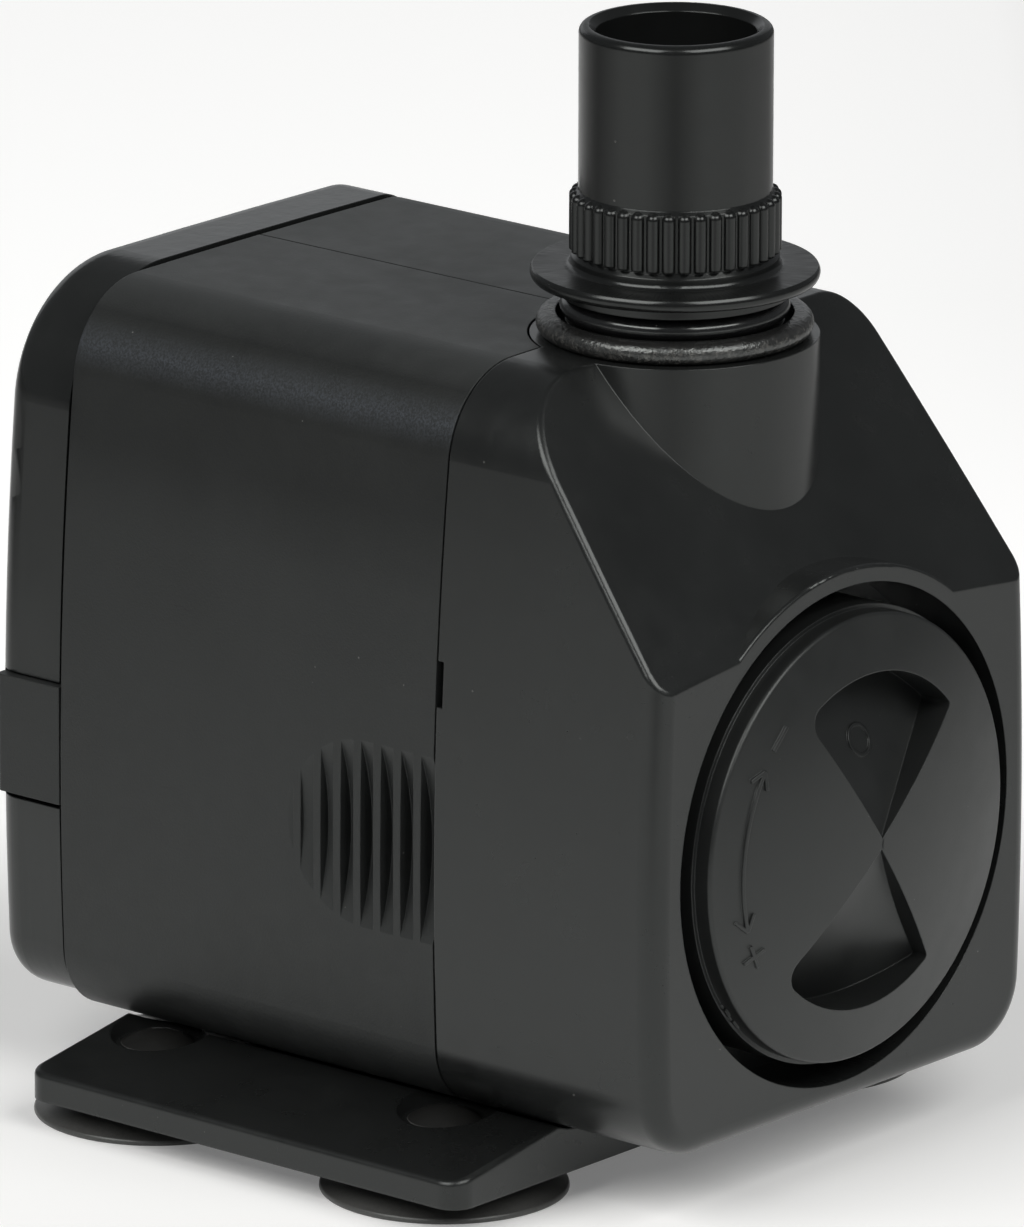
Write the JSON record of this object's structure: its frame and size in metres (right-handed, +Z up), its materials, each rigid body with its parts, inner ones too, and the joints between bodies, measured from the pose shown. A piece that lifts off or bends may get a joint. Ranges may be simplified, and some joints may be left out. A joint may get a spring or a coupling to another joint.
{
  "type": "submersible fountain pump",
  "caption": "Small submersible fountain pump with suction-cup base, turnable intake dial and screw-in ribbed hose outlet on top.",
  "frame": {"origin": "on the surface the suction cups stand on, mid-width and midway between the dial's crown and the cord gland's rear face", "axes": "+Z up along the outlet, -Y out of the flow dial at the front, +X to the right seen from the front"},
  "size_m": [0.0674, 0.0788, 0.0953],
  "materials": {
    "housing_plastic": "fine spark-eroded grain, satin",
    "cover_plastic": "smooth satin moulded",
    "rear_plastic": "smooth, slightly glossy",
    "dial_plastic": "smooth satin moulded",
    "adapter_plastic": "polished moulded",
    "base_plastic": "satin moulded, lightly worn",
    "inner_plastic": "moulded",
    "cup_rubber": "smooth soft",
    "seal_rubber": "smooth, slightly oiled",
    "gasket_rubber": "rough cut",
    "gland_rubber": "matt",
    "impeller_plastic": "moulded",
    "washer_plastic": "low-friction",
    "ferrite": "ground ferrite",
    "ceramic": "polished ceramic",
    "laminated_steel": "stacked sheet edges",
    "bobbin_plastic": "moulded",
    "copper_winding": "enamelled wire",
    "fuse_can": "drawn",
    "resin": "cast resin"
  },
  "bodies": {
    "housing": {"motor_housing": "housing_plastic", "rear_cover": "rear_plastic", "cord_gland": "gland_rubber", "stator_core": "laminated_steel", "coil_bobbin_left": "bobbin_plastic", "coil_bobbin_right": "bobbin_plastic", "coil_winding_left": "copper_winding", "coil_winding_right": "copper_winding", "thermal_fuse": "fuse_can", "potting_resin": "resin", "ceramic_shaft": "ceramic", "rear_bushing": "seal_rubber"},
    "latch_left": {"cover_latch_left": "housing_plastic"},
    "latch_right": {"cover_latch_right": "housing_plastic"},
    "cover": {"front_cover": "cover_plastic", "chamber_plate": "inner_plastic", "chamber_seal": "seal_rubber", "front_bushing": "seal_rubber", "outlet_gasket": "gasket_rubber"},
    "dial": {"flow_dial": "dial_plastic", "flow_shutter": "inner_plastic"},
    "adapter_slide": {"adapter_oring": "seal_rubber"},
    "adapter": {"outlet_adapter": "adapter_plastic"},
    "rotor": {"rotor_sleeve": "inner_plastic", "rotor_magnet": "ferrite"},
    "impeller": {"impeller": "impeller_plastic", "thrust_washer": "washer_plastic"},
    "base": {"base_plate": "base_plastic", "suction_cup_front_left": "cup_rubber", "suction_cup_front_right": "cup_rubber", "suction_cup_rear_left": "cup_rubber", "suction_cup_rear_right": "cup_rubber"}
  },
  "joints": [
    {"name": "cover_pull", "type": "slide", "parent": "housing", "child": "cover", "axis": [0, -1, 0], "range_m": [0, 0.03]},
    {"name": "dial_turn", "type": "hinge", "parent": "cover", "child": "dial", "pos_m": [0, -0.036, 0.0297], "axis": [0, -1, 0], "range_deg": [-37.5, 7.5]},
    {"name": "adapter_lift", "type": "slide", "parent": "cover", "child": "adapter_slide", "axis": [0, 0, 1], "range_m": [0, 0.006]},
    {"name": "adapter_turn", "type": "hinge", "parent": "adapter_slide", "child": "adapter", "pos_m": [0, -0.017, 0.08], "axis": [0, 0, 1], "range_deg": [0, 1080]},
    {"name": "rotor_spin", "type": "hinge", "parent": "housing", "child": "rotor", "pos_m": [0, 0.003, 0.0297], "axis": [0, -1, 0], "continuous": true},
    {"name": "impeller_play", "type": "hinge", "parent": "rotor", "child": "impeller", "pos_m": [0, -0.017, 0.0297], "axis": [0, -1, 0], "range_deg": [0, 238]},
    {"name": "base_slide", "type": "slide", "parent": "housing", "child": "base", "axis": [0, -1, 0], "range_m": [0, 0.034]},
    {"name": "latch_left_flex", "type": "hinge", "parent": "housing", "child": "latch_left", "pos_m": [-0.0234, 0.02935, 0.0297], "axis": [0, 0, 1], "range_deg": [0, 6], "stiffness_Nm_per_rad": 0.02},
    {"name": "latch_right_flex", "type": "hinge", "parent": "housing", "child": "latch_right", "pos_m": [0.0234, 0.02935, 0.0297], "axis": [0, 0, -1], "range_deg": [0, 6], "stiffness_Nm_per_rad": 0.02}
  ],
  "couplings": [
    {"joint": "adapter_lift", "follows": "adapter_turn", "m_per_rad": 0.00031831}
  ]
}
